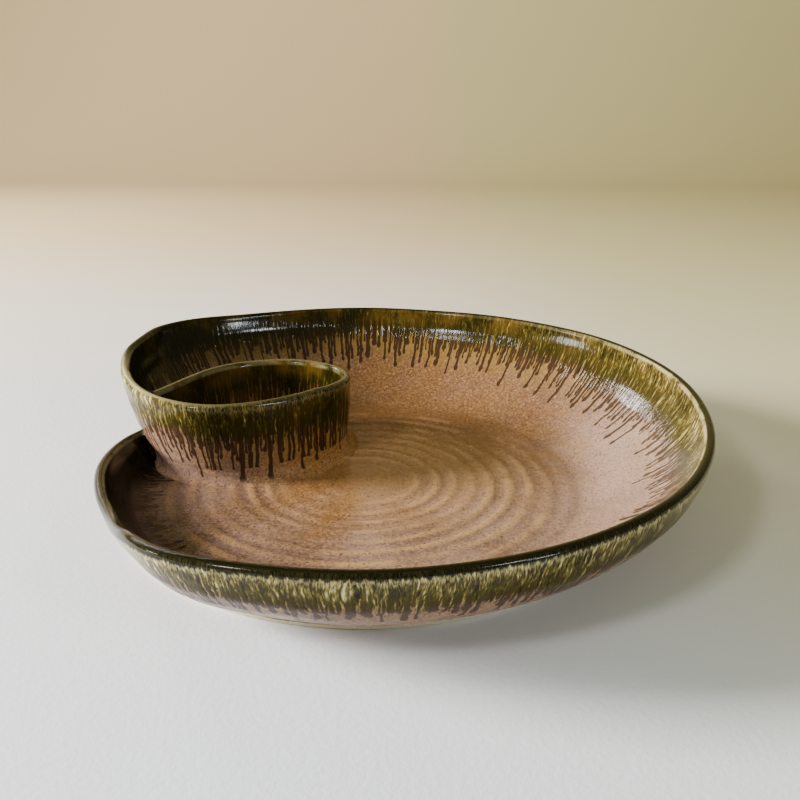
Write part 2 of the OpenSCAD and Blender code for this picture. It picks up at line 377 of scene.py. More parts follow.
# What the rim glaze does along the wall, one row per place u: how far it reaches down the outer and the
# inner face before it breaks into runs and how much further the runs go (mm), how pale it is on each face,
# how black the lip is outside, how pale its inner edge is, and how amber the ground is between the runs.
# The pale columns are partly the glaze's own colour and partly painted light and shade: paler on the inner
# face at the right and the outer face at the front, where the light falls, and darker on the inner faces at
# the left and back, which lie in shade.
GLAZE = np.array([
    # u, reach out, in, runs out, in, pale out, in, band, edge, amber out, in
    (0, 15, 24, 9, 7, 0.30, 0.0, 0.9, 0.3, 0.1, 0.0),
    (4, 15, 26, 9, 7, 0.35, 0.0, 0.95, 0.4, 0.1, 0.0),
    (7, 15, 27, 10, 8, 0.66, 0.0, 1.0, 0.7, 0.1, 0.0),
    (10, 15, 19, 10, 8, 0.82, 0.1, 1.0, 1.0, 0.1, 0.1),
    (14, 17, 18, 10, 15, 0.76, 0.5, 1.0, 1.0, 0.2, 0.3),
    (17, 18, 22, 11, 18, 0.66, 0.85, 1.0, 1.0, 0.3, 0.1),
    (19, 19, 22, 12, 18, 0.58, 0.62, 1.0, 0.7, 0.3, 0.2),
    (21, 21, 19, 14, 17, 0.42, 0.42, 0.9, 0.15, 0.4, 0.6),
    (24, 24, 16, 16, 15, 0.3, 0.28, 0.9, 0.0, 0.4, 0.8),
    (26, 27, 17, 18, 17, 0.25, 0.12, 0.8, 0.0, 0.4, 0.6),
    (28, 25, 20, 18, 20, 0.25, 0.0, 0.7, 0.0, 0.3, 0.3),
    (30, 24, 22, 18, 20, 0.35, 0.0, 0.6, 0.1, 0.2, 0.1),
    (31, 20, 22, 18, 18, 0.70, 0.0, 0.2, 0.5, 0.1, 0.1),
    (32, 15, 20, 18, 15, 0.95, 0.0, 0.0, 0.9, 0.1, 0.2),
    (34, 15, 16, 22, 14, 0.72, 0.1, 0.0, 0.9, 0.1, 0.4),
    (35.5, 16, 14, 24, 16, 0.50, 0.15, 0.2, 0.4, 0.2, 0.7),
    (38, 18, 14, 26, 18, 0.42, 0.12, 0.4, 0.1, 0.5, 0.9),
    (41, 20, 14, 26, 18, 0.38, 0.12, 0.3, 0.15, 0.6, 1.0),
    (44, 16, 16, 16, 18, 0.3, 0.15, 0.2, 0.3, 0.4, 0.9),
    (48, 16, 18, 16, 16, 0.3, 0.1, 0.2, 0.3, 0.3, 0.5),
])


def glaze_fields(u, y):
    """Attributes of the rim glaze at each u, y being above 0 on the outer face and below 0 on the inner."""
    col = [np.interp(u, GLAZE[:, 0], GLAZE[:, c]) for c in range(1, GLAZE.shape[1])]
    w = smooth(0.5 + y / 3)
    return {"reach": col[0] * w + col[1] * (1 - w), "drip": col[2] * w + col[3] * (1 - w),
            "pale": col[4] * w + col[5] * (1 - w), "band": col[6], "edge": col[7],
            "amber": col[8] * w + col[9] * (1 - w)}


def flat_fields(r, fields):
    """The fields and run of a grid of points, one row for each point."""
    return dict({k: v.ravel() for k, v in fields.items()}, run=r.reshape(-1, 3))


u_grid = np.repeat(u_all[:, None], ROWS, 1)
glaze_grid = glaze_fields(u_grid, run[..., 1])


def sweep_piece(name, part_u, rows):
    """A closed band of the wall grid: columns part_u, rows given as indices, capped at both ends."""
    rows = np.asarray(rows)
    p, n, r = wall[part_u][:, rows], wall_normals[part_u][:, rows], run[part_u][:, rows]
    fields = flat_fields(r, {key: v[part_u][:, rows] for key, v in glaze_grid.items()})
    return add_mesh(name, p.reshape(-1, 3), tube_faces(*p.shape[:2], flip=True), fields, n.reshape(-1, 3))


tray_wall = sweep_piece("glazed_tray_wall", slice(0, seam_at + 1), range(ROWS))
bowl_wall = sweep_piece("glazed_bowl_wall", slice(seam_at, None), list(range(COVE_START + 1)))
inner_fillet = sweep_piece("glazed_bowl_inner_coil", slice(seam_at, None), range(COVE_START, ROWS))


# ---------------------------------------------------------------- outer coil, tapered at both ends
COIL_FROM, COIL_TO = SEAM + 2.35, LAST - 0.5  # places u
COIL_ROWS = 18
COIL_HIDDEN = 9.5  # mm of run taken off for the coil's rows inside the wall


def outer_coil():
    u = even_u(COIL_FROM, COIL_TO, STEP_U)
    s = Station(u)
    taper = np.minimum(smooth((u - u[0]) / 0.25), smooth((u[-1] - u) / 0.3))
    width = COIL_OUT * (0.2 + 0.8 * taper)
    top, foot = s.outer(0.25), s.outer(0)
    corner = foot + [0.3, 0.2, 0]
    end = foot + np.stack([width, 0 * width, 0 * width], 1)
    down = np.linspace(0, 1, COIL_ROWS)
    rows = [foot - [1.5, 1.1, 0], top - [1.5, 0, 0]]
    rows += [(1 - f) ** 2 * top + 2 * (1 - f) * f * corner + f * f * end for f in down]
    rows += [end - [0.5, 1.1, 0]]
    p = np.stack([s.placed(q) for q in rows], 1)
    relief_down = FLOOR_TOP - floor_z(p[:, 2:-1, 0], p[:, 2:-1, 1])
    p[:, 2:-1, 2] -= relief_down * down[None, :] ** 2
    k, m = p.shape[:2]
    n = edge_normals(-grid_normals(p), p, 2, m - 2)
    lip_to = np.interp(u, u_all, arc[:, LIP_TOP])
    r = np.zeros(p.shape)
    r[..., 0] = rim_length(u)[:, None]
    r[..., 1] = lip_to[:, None] - COIL_HIDDEN + path_length(p[k // 2])[None, :]
    r[..., 2] = 1
    fields = flat_fields(r, glaze_fields(np.repeat(u[:, None], m, 1), r[..., 1]))
    return add_mesh("glazed_bowl_outer_coil", p.reshape(-1, 3), tube_faces(k, m), fields, n.reshape(-1, 3))


outer_fillet = outer_coil()


# ---------------------------------------------------------------- joins at the wall's two ends
JOIN_RINGS = 9
JOIN_FLARE = 2.2
JOIN_DEPTH = 0.8  # mm that the flared edge goes on beyond the host wall's face


def face_at(s, t, inside):
    """Profile points on a host wall's face, station i at t[i]."""
    face = s.inner if inside else s.outer
    return np.stack([face(m)[i] for i, m in enumerate(t)])


def host_height(s, z, inside):
    """Points on a host wall's face at the heights z, one station each."""
    lo, hi = np.zeros(len(z)), np.ones(len(z))
    for _ in range(16):
        mid = (lo + hi) / 2
        low = face_at(s, mid, inside)[:, 1] < z
        lo, hi = np.where(low, mid, lo), np.where(low, hi, mid)
    return s.placed(face_at(s, (lo + hi) / 2, inside))


def end_join(name, column, inner_u, outer_u, inside):
    """Skin from the wall's end ring to the face of the host wall, flared where they meet.

    The ring's outer half lands on the host at outer_u, and its inner half at inner_u.
    """
    keep = np.arange(1, ROWS - 1, 2)
    ring = wall[column][keep]
    past_lip = smooth((np.arange(len(ring)) - ring[:, 2].argmax() + 4) / 8)
    host = Station(outer_u + (inner_u - outer_u) * past_lip)
    landing = host_height(host, np.clip(ring[:, 2], FLOOR_TOP + 0.05, None), inside)
    toward = unit(landing - ring)
    outwards = unit(ring - ring.mean(0))
    flare = landing + outwards * JOIN_FLARE * [1, 1, 0.75] + toward * JOIN_DEPTH
    p = np.stack([(1 - f) ** 2 * ring + 2 * (1 - f) * f * landing + f * f * flare
                  for f in np.linspace(0, 1, JOIN_RINGS)])
    p[..., 2] = np.maximum(p[..., 2], HIDDEN_Z)
    k, m = p.shape[:2]
    r = np.repeat(run[column][keep][None], k, 0)
    fields = flat_fields(r, {key: np.repeat(v[column][keep][None], k, 0) for key, v in glaze_grid.items()})
    return add_mesh(name, p.reshape(-1, 3), tube_faces(k, m, flip=True), fields)


low_join = end_join("glazed_low_end_coil", 0, SEAM + 2.4, SEAM + 1.9, False)
curl_join = end_join("glazed_curl_end_coil", -1, SEAM + 3.1, SEAM + 2.5, True)


# ---------------------------------------------------------------- floor
BOWL_SIDE = (math.radians(131), math.radians(175))  # between them the floor is in the bowl or behind it
PAST_RUNS = 400  # mm down from the lip, further than any run of glaze
FLOOR_EDGE = 106  # radius where the floor piece ends, inside the wall
FLOOR_SEAT = 5.5  # height of the floor piece's underside, outside the recess
FLOOR_SINK = 0.02  # keeps the floor just under the thin edges of the coves


def runs_on_floor(verts):
    """Carry the wall's run coordinates on over the floor, so that runs of glaze cross the join."""
    column = slice(0, np.searchsorted(u_all, SEAM - 3))
    edge = wall[column, ROWS - 2]
    turn = np.unwrap(np.arctan2(edge[:, 1], edge[:, 0]))
    turn -= 2 * np.pi * np.round(turn[-1] / (2 * np.pi))
    angle = np.arctan2(verts[:, 1], verts[:, 0])
    angle = np.where(angle > BOWL_SIDE[1], angle - 2 * np.pi, angle)
    inward = np.interp(angle, turn, np.hypot(edge[:, 0], edge[:, 1])) - np.hypot(verts[:, 0], verts[:, 1])
    down = np.interp(angle, turn, arc[column, ROWS - 2] - arc[column, LIP_TOP]) + inward
    down[(angle > BOWL_SIDE[0]) & (angle < BOWL_SIDE[1])] = PAST_RUNS
    run_here = np.stack([np.interp(angle, turn, rim_length(u_all[column])), -down, -np.ones(len(verts))], 1)
    return run_here, np.interp(angle, turn, u_all[column])


def tray_floor_mesh():
    radii = np.concatenate([np.linspace(0.8, 100, 150), np.linspace(101, FLOOR_EDGE, 6)])
    count = 320
    a = np.linspace(0, 2 * np.pi, count, endpoint=False)
    rr, aa = np.meshgrid(radii, a, indexing="ij")
    x, y = rr * np.cos(aa), rr * np.sin(aa)
    top = np.stack([x, y, floor_z(x, y) - FLOOR_SINK], -1)
    recess_r = FOOT_INNER_R - FOOT_SHIFT
    under = [(FLOOR_EDGE, FLOOR_TOP - 0.5), (FLOOR_EDGE, FLOOR_SEAT), (recess_r - 0.5, FLOOR_SEAT),
             (recess_r - 1.0, RECESS_UNDER + 0.4), (recess_r - 1.6, RECESS_UNDER)]
    under += [(r, RECESS_UNDER) for r in np.linspace(recess_r - 3, 1, 24)]
    low = np.stack([np.stack([r * np.cos(a), r * np.sin(a), np.full(count, z)], -1) for r, z in under])
    p = np.concatenate([top, low])
    k = len(p)
    verts = np.concatenate([p.reshape(-1, 3), [[0, 0, floor_z(0, 0)], [0, 0, RECESS_UNDER]]])
    faces = grid_faces(k, count, wrap_cols=True, flip=True)
    middle_top, middle_low = k * count, k * count + 1
    faces += [[middle_top, j, (j + 1) % count] for j in range(count)]
    base = (k - 1) * count
    faces += [[middle_low, base + (j + 1) % count, base + j] for j in range(count)]
    run_here, u_here = runs_on_floor(verts)
    fields = flat_fields(run_here, glaze_fields(u_here, run_here[:, 1]))
    return add_mesh("glazed_tray_floor", verts, faces, fields)


floor_piece = tray_floor_mesh()


# ---------------------------------------------------------------- foot
FOOT_SIDE = (math.radians(-191), math.radians(163))  # between them the wall's foot is the base's outline
FOOT_HIDDEN = 1.5  # mm of run taken off for the foot's rows inside the wall


def foot_circle(radius, a):
    """Distance from the wheel's axis, at the angles a, of a circle about the foot ring's middle."""
    return FOOT_SHIFT * np.cos(a) + np.sqrt(radius ** 2 - (FOOT_SHIFT * np.sin(a)) ** 2)


def foot_mesh():
    """The trimmed foot: its flank runs from under the wall down to the ring that stands on the table."""
    count = 480
    a = np.linspace(-np.pi, np.pi, count, endpoint=False)
    s = Station(np.linspace(0, SEAM + 3, 700))
    angle = np.unwrap(np.arctan2(s.foot[:, 1], s.foot[:, 0])) - 2 * np.pi
    keep = (angle > FOOT_SIDE[0]) & (angle < FOOT_SIDE[1])
    turn = np.concatenate([angle[keep] - 2 * np.pi, angle[keep], angle[keep] + 2 * np.pi])
    order = np.argsort(turn)

    def around(values):
        """Values along the wall, read off at the angles a."""
        return np.interp(a, turn[order], np.tile(values[keep], 3)[order])

    top_r = around(np.hypot(s.foot[:, 0], s.foot[:, 1]))
    ring_r, inner_r = foot_circle(FOOT_R, a), foot_circle(FOOT_INNER_R, a)
    ledge = 0.9 + 0.4 * np.cos(a + 2.6)  # stands out most at the front left
    rows = [(top_r - 1.5, FLOOR_TOP + 0.4), (top_r - 0.05, FLOOR_TOP)]
    for drop in np.linspace(1, 0, 14)[1:]:
        swell = ledge * np.exp(-((0.75 - drop) / 0.22) ** 2) * smooth((1 - drop) / 0.2) * 0.5
        rows.append((ring_r + (top_r - ring_r) * drop ** 1.25 + swell, 0.55 + 6.45 * drop))
    rows += [(ring_r - 0.15, 0.25), (ring_r - 0.55, 0.02), (ring_r - 1.2, 0.0)]
    rows += [(inner_r + 1.0, 0.0), (inner_r + 0.3, 0.2), (inner_r, 0.7), (inner_r - 0.1, 3.0), (inner_r, 6.0)]
    p = np.stack([np.stack([r * np.cos(a), r * np.sin(a), np.full(count, z)], -1) for r, z in rows])
    k = len(rows)
    faces = grid_faces(k, count, wrap_rows=True, wrap_cols=True, flip=True)
    lip_to = np.interp(s.u, u_all, arc[:, LIP_TOP])
    r = np.zeros(p.shape)
    r[..., 0] = around(rim_length(s.u))[None]
    r[..., 1] = around(lip_to)[None] + path_length(p[:, 0])[:, None] - FOOT_HIDDEN
    r[..., 2] = 1
    fields = flat_fields(r, glaze_fields(np.repeat(around(s.u)[None], k, 0), r[..., 1]))
    return add_mesh("foot_ring_bare", p.reshape(-1, 3), faces, fields)


foot_piece = foot_mesh()


# ---------------------------------------------------------------- materials
def rgb(hex_code):
    """Scene-linear colour of an sRGB hex code."""
    c = [int(hex_code[i:i + 2], 16) / 255 for i in (0, 2, 4)]
    return tuple(x / 12.92 if x <= 0.04045 else ((x + 0.055) / 1.055) ** 2.4 for x in c) + (1.0,)


class Shader:
    """Short names for building a node tree."""

    def __init__(self, name):
        self.material = bpy.data.materials.new(name)
        self.material.use_nodes = True
        self.tree = self.material.node_tree
        self.surface = self.tree.nodes["Principled BSDF"]

    def node(self, kind, **props):
        n = self.tree.nodes.new(kind)
        for key, value in props.items():
            setattr(n, key, value)
        return n

    def wire(self, value, socket):
        if isinstance(value, bpy.types.NodeSocket):
            self.tree.links.new(value, socket)
        else:
            socket.default_value = value

    def math(self, op, a, b=0.0):
        n = self.node("ShaderNodeMath", operation=op)
        for value, socket in zip((a, b), n.inputs):
            self.wire(value, socket)
        return n.outputs[0]

    def add(self, a, b):
        return self.math("ADD", a, b)

    def sub(self, a, b):
        return self.math("SUBTRACT", a, b)

    def mul(self, a, b):
        return self.math("MULTIPLY", a, b)

    def ramp_to(self, x, lo, hi, out_lo=0.0, out_hi=1.0):
        """Smooth step of x from lo to hi."""
        n = self.node("ShaderNodeMapRange", interpolation_type="SMOOTHSTEP")
        keys = ("Value", "From Min", "From Max", "To Min", "To Max")
        for key, value in zip(keys, (x, lo, hi, out_lo, out_hi)):
            self.wire(value, n.inputs[key])
        return n.outputs["Result"]

    def mix(self, f, a, b):
        n = self.node("ShaderNodeMix", data_type="RGBA")
        self.wire(f, n.inputs["Factor"])
        self.wire(a, n.inputs[6])
        self.wire(b, n.inputs[7])
        return n.outputs[2]

    def colours(self, x, stops):
        n = self.node("ShaderNodeValToRGB")
        ramp = n.color_ramp
        while len(ramp.elements) < len(stops):
            ramp.elements.new(0.5)
        for element, (position, colour) in zip(ramp.elements, stops):
            element.position = position
            element.color = colour
        self.wire(x, n.inputs[0])
        return n.outputs[0]

    def vector(self, x, y, z=0.0):
        n = self.node("ShaderNodeCombineXYZ")
        for value, socket in zip((x, y, z), n.inputs):
            self.wire(value, socket)
        return n.outputs[0]

    def parts(self, vector):
        n = self.node("ShaderNodeSeparateXYZ")
        self.wire(vector, n.inputs[0])
        return n.outputs

    def noise(self, vector, scale=1.0, detail=2.0, rough=0.5):
        n = self.node("ShaderNodeTexNoise", noise_dimensions="3D")
        self.wire(vector, n.inputs["Vector"])
        for key, value in (("Scale", scale), ("Detail", detail), ("Roughness", rough)):
            n.inputs[key].default_value = value
        return n.outputs["Fac"]

    def streaked(self, x, y, across, lengthwise, seed, detail=2, rough=0.5):
        """Noise over (x, y), across and lengthwise being its scales, in cells a millimetre."""
        point = self.vector(self.mul(x, across), self.mul(y, lengthwise), seed)
        return self.noise(point, 1.0, detail, rough)

    def random(self, x, seed):
        n = self.node("ShaderNodeTexWhiteNoise", noise_dimensions="2D")
        self.wire(self.vector(x, seed), n.inputs["Vector"])
        return n.outputs["Value"]

    def attribute(self, name, out="Fac"):
        return self.node("ShaderNodeAttribute", attribute_name=name).outputs[out]

    def place(self):
        """Position on the object in millimetres from the wheel's axis."""
        n = self.node("ShaderNodeVectorMath", operation="MULTIPLY_ADD")
        self.wire(self.node("ShaderNodeTexCoord").outputs["Object"], n.inputs[0])
        n.inputs[1].default_value = (1 / MM, 1 / MM, 1 / MM)
        n.inputs[2].default_value = PLAN_CENTRE
        return n.outputs[0]

    def finish(self, colour, rough, height, strength, distance):
        """Wire up the surface, with its bump's strength and its distance in metres."""
        bump = self.node("ShaderNodeBump")
        bump.inputs["Strength"].default_value = strength
        bump.inputs["Distance"].default_value = distance
        self.wire(height, bump.inputs["Height"])
        self.wire(colour, self.surface.inputs["Base Color"])
        self.wire(rough, self.surface.inputs["Roughness"])
        self.wire(bump.outputs["Normal"], self.surface.inputs["Normal"])
        return self.material


def drips(t, along_rim, down, pitch, width, start, length, seed):
    """1 inside runs of glaze about pitch apart that end in a rounded bead, 0 between them. All in mm."""
    sway = t.mul(t.sub(t.streaked(along_rim, down, 0.15, 0.12, seed), 0.5), 3.0)
    x = t.add(along_rim, sway)
    cell = t.math("FLOOR", t.math("DIVIDE", x, pitch))
    jitter = t.mul(t.sub(t.random(cell, seed), 0.5), 0.55)
    centre = t.mul(t.add(t.add(cell, 0.5), jitter), pitch)
    dx = t.math("ABSOLUTE", t.sub(x, centre))
    size = t.add(0.55, t.mul(t.random(cell, seed + 1.7), 0.55))
    end = t.add(start, t.mul(length, t.math("POWER", t.random(cell, seed + 3.1), 0.9)))
    past = t.sub(down, end)
    body = t.math("MAXIMUM", t.sub(dx, t.mul(size, width)), past)
    bead = t.math("SQRT", t.add(t.mul(dx, dx), t.math("POWER", t.math("ABSOLUTE", t.mul(past, 0.6)), 2.0)))
    bead = t.sub(bead, t.mul(size, width * 1.55))
    return t.ramp_to(t.math("MINIMUM", body, bead), 0.28, -0.22)


BLACK_GREEN = rgb("0B0C02")
DARK_OLIVE = rgb("211D04")
OLIVE = rgb("484016")
YELLOW_OLIVE = rgb("87783A")
CREAM = rgb("CFC793")
AMBER = rgb("6E4412")
RUN_BROWN = rgb("241307")
RUN_PALE = rgb("4A362A")
MAUVE = rgb("866B5F")
MAUVE_DEEP = rgb("624A3F")
MAUVE_PALE_AND_LIGHT = rgb("BFA496")
UMBER_AND_REFLECTION = rgb("5A3A22")
OCHRE = rgb("8F6329")
TAN = rgb("C09460")
SPECKLE = rgb("3C261C")
BARE = rgb("E4DABC")
BARE_DARK = rgb("C9BC98")


def body_glaze(t, place):
    """The mauve glaze: mottled, speckled and ochre in the middle; paler to the right, partly painted light,
    and browner at the back, partly a painted reflection of the dark back wall.
    """
    x, y, _ = t.parts(place)
    mottle = t.noise(place, 0.03, 4, 0.6)
    colour = t.mix(t.ramp_to(mottle, 0.33, 0.66), MAUVE_DEEP, MAUVE)
    patch = t.noise(place, 0.045, 3, 0.55)
    dx, dy = t.mul(t.sub(x, 12.0), 0.0118), t.mul(t.sub(y, 52.0), 0.0095)
    middle = t.math("SQRT", t.add(t.mul(dx, dx), t.mul(dy, dy)))
    middle = t.ramp_to(t.add(middle, t.mul(t.sub(patch, 0.5), 1.2)), 1.3, 0.3)
    # Paler to the right: partly the glaze's own tone and partly painted light, where the light from the left
    # falls on the floor.
    colour = t.mix(t.ramp_to(x, 75.0, 140.0, 0.0, 0.42), colour, MAUVE_PALE_AND_LIGHT)
    colour = t.mix(t.mul(middle, 0.82), colour, OCHRE)
    # Browner towards the back: partly the glaze's own tone and partly a painted reflection of the dark back
    # wall.
    colour = t.mix(t.ramp_to(y, 30.0, 80.0, 0.0, 0.58), colour, UMBER_AND_REFLECTION)
    worn_crest = t.mul(t.ramp_to(t.attribute("crest"), 0.35, 1.0), t.ramp_to(patch, 0.40, 0.66))
    colour = t.mix(t.mul(worn_crest, 0.55), colour, TAN)
    fine = t.noise(place, 0.7, 3, 0.65)
    colour = t.mix(t.ramp_to(fine, 0.35, 0.72, -0.08, 0.42), colour, TAN)
    dots = t.noise(place, 1.25, 1.5, 0.5)
    colour = t.mix(t.mul(t.ramp_to(dots, 0.56, 0.66), 0.75), colour, SPECKLE)
    return colour, dots


RUN_KINDS = (  # pitch, width, start as a share of the reach, length as a share of the drip, seed
    (2.4, 0.62, 0.80, 1.0, 11.0),
    (3.6, 0.76, 0.85, 1.3, 37.0),
    (6.1, 0.98, 0.90, 1.65, 23.0),
)
FACE_APART = 531.7  # mm between the two faces' streaks, so that each face draws its own


class RimGlaze:
    """The dark glaze on the rim. run_y is mm down from the lip, below 0 on the inner face."""

    def __init__(self, t):
        self.t = t
        run_x, self.run_y, _ = t.parts(t.attribute("run", "Vector"))
        self.down = t.math("ABSOLUTE", self.run_y)
        self.along_rim = t.add(run_x, t.mul(t.ramp_to(self.run_y, -1.0, 1.0), FACE_APART))
        self.pale, self.amber = t.attribute("pale"), t.attribute("amber")
        wander = t.mul(t.sub(t.streaked(self.along_rim, 0.0, 0.045, 0.0, 3.0, 3), 0.5), 14.0)
        self.front = t.math("MAXIMUM", t.add(t.attribute("reach"), wander), 4.0)
        self.depth = t.math("DIVIDE", self.down, self.front)  # 1 where the glaze breaks into runs
        streak_x = t.add(self.along_rim, t.mul(t.streaked(self.along_rim, self.down, 0.1, 0.08, 8.0), 4.0))
        self.cloud = t.streaked(self.along_rim, self.down, 0.05, 0.05, 6.0, 3)
        broad = t.streaked(streak_x, self.down, 0.35, 0.05, 5.0)
        self.thin = t.streaked(streak_x, self.down, 1.0, 0.16, 9.0)
        self.hair = t.streaked(streak_x, self.down, 2.2, 0.5, 2.0)
        self.streak = t.add(t.add(t.mul(broad, 0.25), t.mul(self.thin, 0.45)), t.mul(self.hair, 0.30))
        self.cover = t.ramp_to(t.add(self.depth, t.mul(t.sub(self.thin, 0.5), 1.6)), 1.35, 0.85)

    def run_cover(self, z):
        """1 in the runs that hang from the glaze. Outside, no run goes on past the foot of the wall."""
        t, drip = self.t, self.t.attribute("drip")
        runs = 0.0
        for pitch, width, start, length, seed in RUN_KINDS:
            more = drips(t, self.along_rim, self.down, pitch, width, t.mul(self.front, start),
                         t.mul(drip, length), seed)
            runs = t.math("MAXIMUM", more, runs)
        runs = t.mul(runs, t.math("MAXIMUM", t.ramp_to(self.run_y, 1.0, -1.0), t.ramp_to(z, 7.4, 10.0)))
        return t.mul(runs, t.ramp_to(self.depth, 0.25, 0.85))

    def streaks(self):
        """Colour of the solid glaze, from black through olive to cream, in streaks."""
        t = self.t
        # The pale field, partly painted light and shade, widens the streaks' range and lifts or lowers the
        # whole tone.
        tone = t.add(0.42, t.mul(t.sub(self.streak, 0.5), t.add(1.5, t.mul(self.pale, 2.1))))
        tone = t.add(tone, t.mul(t.sub(self.pale, 0.4), 0.42))
        tone = t.add(tone, t.mul(t.sub(self.cloud, 0.5), 0.5))
        colour = t.colours(tone, [(0.18, BLACK_GREEN), (0.36, DARK_OLIVE), (0.55, OLIVE),
                                  (0.74, YELLOW_OLIVE), (0.95, CREAM)])
        tint = t.mul(self.amber, t.ramp_to(self.cloud, 0.42, 0.62, 0.0, 0.65))
        return t.mix(tint, colour, t.mix(self.thin, AMBER, OLIVE))

    def thinned(self, ground):
        """Colour between the runs, where the glaze thins out to the ground, through amber or dark olive."""
        t = self.t
        tint = t.mul(self.amber, t.ramp_to(self.depth, 2.4, 1.2))
        colour = t.mix(tint, ground, t.mix(self.thin, AMBER, YELLOW_OLIVE))
        # The dark olive wash follows where the pale field is low, so it is partly painted shade.
        olive_wash_and_shade = t.mul(t.ramp_to(self.pale, 0.35, 0.05), t.ramp_to(self.depth, 2.2, 1.2, 0.0, 0.6))
        return t.mix(olive_wash_and_shade, colour, DARK_OLIVE)

    def runs(self):
        """Colour of the runs, which turn from the glaze's own to brown as they leave it."""
        t = self.t
        loose = t.mix(t.mul(self.pale, 0.6), RUN_BROWN, RUN_PALE)
        held = t.mix(t.mul(self.pale, 0.8), BLACK_GREEN, OLIVE)
        return t.mix(t.ramp_to(self.depth, 0.7, 1.3), held, loose)

    def on_lip(self, colour):
        """The lip: black outside, over a broken pale line, and pale along its inner edge."""
        t, run_y, band = self.t, self.run_y, self.t.attribute("band")
        band_end = t.add(0.6, t.mul(t.streaked(self.along_rim, 0.0, 0.45, 0.0, 1.0, 3, 0.6), 5.2))
        below = t.ramp_to(run_y, t.add(band_end, 3.0), t.add(band_end, 0.6))
        below = t.mul(below, t.ramp_to(run_y, 0.0, 1.5))
        below = t.mul(below, t.mul(t.ramp_to(self.hair, 0.40, 0.56), t.mul(band, 0.55)))
        colour = t.mix(below, colour, t.mix(self.thin, YELLOW_OLIVE, CREAM))
        black = t.ramp_to(run_y, t.add(band_end, 0.5), t.sub(band_end, 0.4))
        black = t.mul(black, t.ramp_to(run_y, -2.4, -1.4))
        colour = t.mix(t.mul(black, t.mul(band, 0.95)), colour, BLACK_GREEN)
        inner_edge = t.mul(t.ramp_to(run_y, -4.3, -3.2), t.ramp_to(run_y, -1.5, -2.3))
        whole_lip = t.mul(t.ramp_to(run_y, -4.3, -3.0), t.ramp_to(run_y, 2.2, 0.6))
        edge = t.math("MAXIMUM", inner_edge, t.mul(t.sub(1.0, band), whole_lip))
        uneven = t.ramp_to(t.streaked(self.along_rim, run_y, 0.09, 0.2, 4.0), 0.30, 0.55)
        edge = t.mul(t.mul(edge, uneven), t.attribute("edge"))
        return t.mix(t.mul(edge, 0.8), colour, t.mix(self.hair, YELLOW_OLIVE, CREAM))

    def shine(self):
        """Specular level: the flank under the rim is duller than the inside."""
        outside = self.t.ramp_to(self.run_y, 3.0, 13.0, 0.21, 0.03)
        return self.t.mul(outside, self.t.ramp_to(self.run_y, -5.0, -1.5, 1.75, 1.0))


BARE_LINE_Z = 2.0  # the foot is bare clay below about this height
GLAZE_IOR = 1.48
GLAZE_BUMP = (0.35, 0.0004)  # strength, distance


def bare_clay(t, place, z, colour, rough, height):
    """Unglazed clay on the foot, below a wavering line."""
    line = t.add(BARE_LINE_Z, t.mul(t.sub(t.noise(place, 0.12, 2), 0.5), 1.2))
    bare = t.ramp_to(z, t.add(line, 0.25), t.sub(line, 0.1))
    grit = t.noise(place, 2.2, 3, 0.7)
    colour = t.mix(bare, colour, t.mix(t.ramp_to(grit, 0.4, 0.7), BARE, BARE_DARK))
    height = t.add(t.mul(height, t.sub(1.0, bare)), t.mul(t.mul(grit, bare), 0.25))
    return colour, t.add(rough, t.mul(bare, 0.6)), height


def glaze_material(name, bare_foot=False):
    """Both glazes as they come on every piece, so that nothing shows where pieces meet."""
    t = Shader(name)
    place = t.place()
    z = t.parts(place)[2]
    ground, dots = body_glaze(t, place)
    rim = RimGlaze(t)
    run_cover = rim.run_cover(z)
    colour = t.mix(t.mul(rim.cover, 0.96), rim.thinned(ground), rim.streaks())
    colour = rim.on_lip(t.mix(t.mul(run_cover, 0.93), colour, rim.runs()))

    thick = t.add(t.mul(run_cover, 0.6), t.mul(rim.cover, t.mul(rim.streak, 0.5)))
    height = t.add(thick, t.mul(dots, 0.05))
    rough = t.add(0.06, t.mul(t.noise(place, 0.25, 3), 0.10))
    rough = t.add(rough, t.ramp_to(rim.depth, 1.2, 2.4, 0.0, 0.17))
    if bare_foot:
        colour, rough, height = bare_clay(t, place, z, colour, rough, height)
    t.surface.inputs["IOR"].default_value = GLAZE_IOR
    t.wire(rim.shine(), t.surface.inputs["Specular IOR Level"])
    return t.finish(colour, rough, height, *GLAZE_BUMP)


mauve_glaze = glaze_material("mauve_glaze")
rim_glaze = glaze_material("rim_glaze")
foot_glaze = glaze_material("bare_stoneware", bare_foot=True)

PIECES = (
    (floor_piece, "tray_floor", "mauve_glaze", mauve_glaze),
    (foot_piece, "foot_ring", "bare_stoneware", foot_glaze),
    (tray_wall, "tray_wall", "rim_glaze", rim_glaze),
    (bowl_wall, "dip_bowl_wall", "rim_glaze", rim_glaze),
    (outer_fillet, "bowl_outer_coil", "mauve_glaze", mauve_glaze),
    (inner_fillet, "bowl_inner_coil", "mauve_glaze", mauve_glaze),
    (low_join, "low_end_coil", "rim_glaze", rim_glaze),
    (curl_join, "curl_end_coil", "rim_glaze", rim_glaze),
)
for piece, node, slot, material in PIECES:
    finish_piece(piece, node, material)


# ---------------------------------------------------------------- floor, light and camera
SWEEP_HALF_WIDTH = 4.0
SWEEP_FRONT = -3.0
SWEEP_BACK = 1.5  # metres behind the object where the paper turns up
SWEEP_TURN = 0.9
SWEEP_TOP = 3.5
SWEEP_DROP = 0.0001  # keeps the paper just under the foot
PAPER_NEAR = rgb("ECF1F8")
PAPER_FAR = rgb("E0C597")
PAPER_PAINTED_SHADOW = rgb("D4CB90")
PAPER_TOOTH = rgb("C9C3B8")
PAPER_ROUGHNESS = 0.85
PAPER_BUMP = (0.25, 0.0006)  # strength, distance


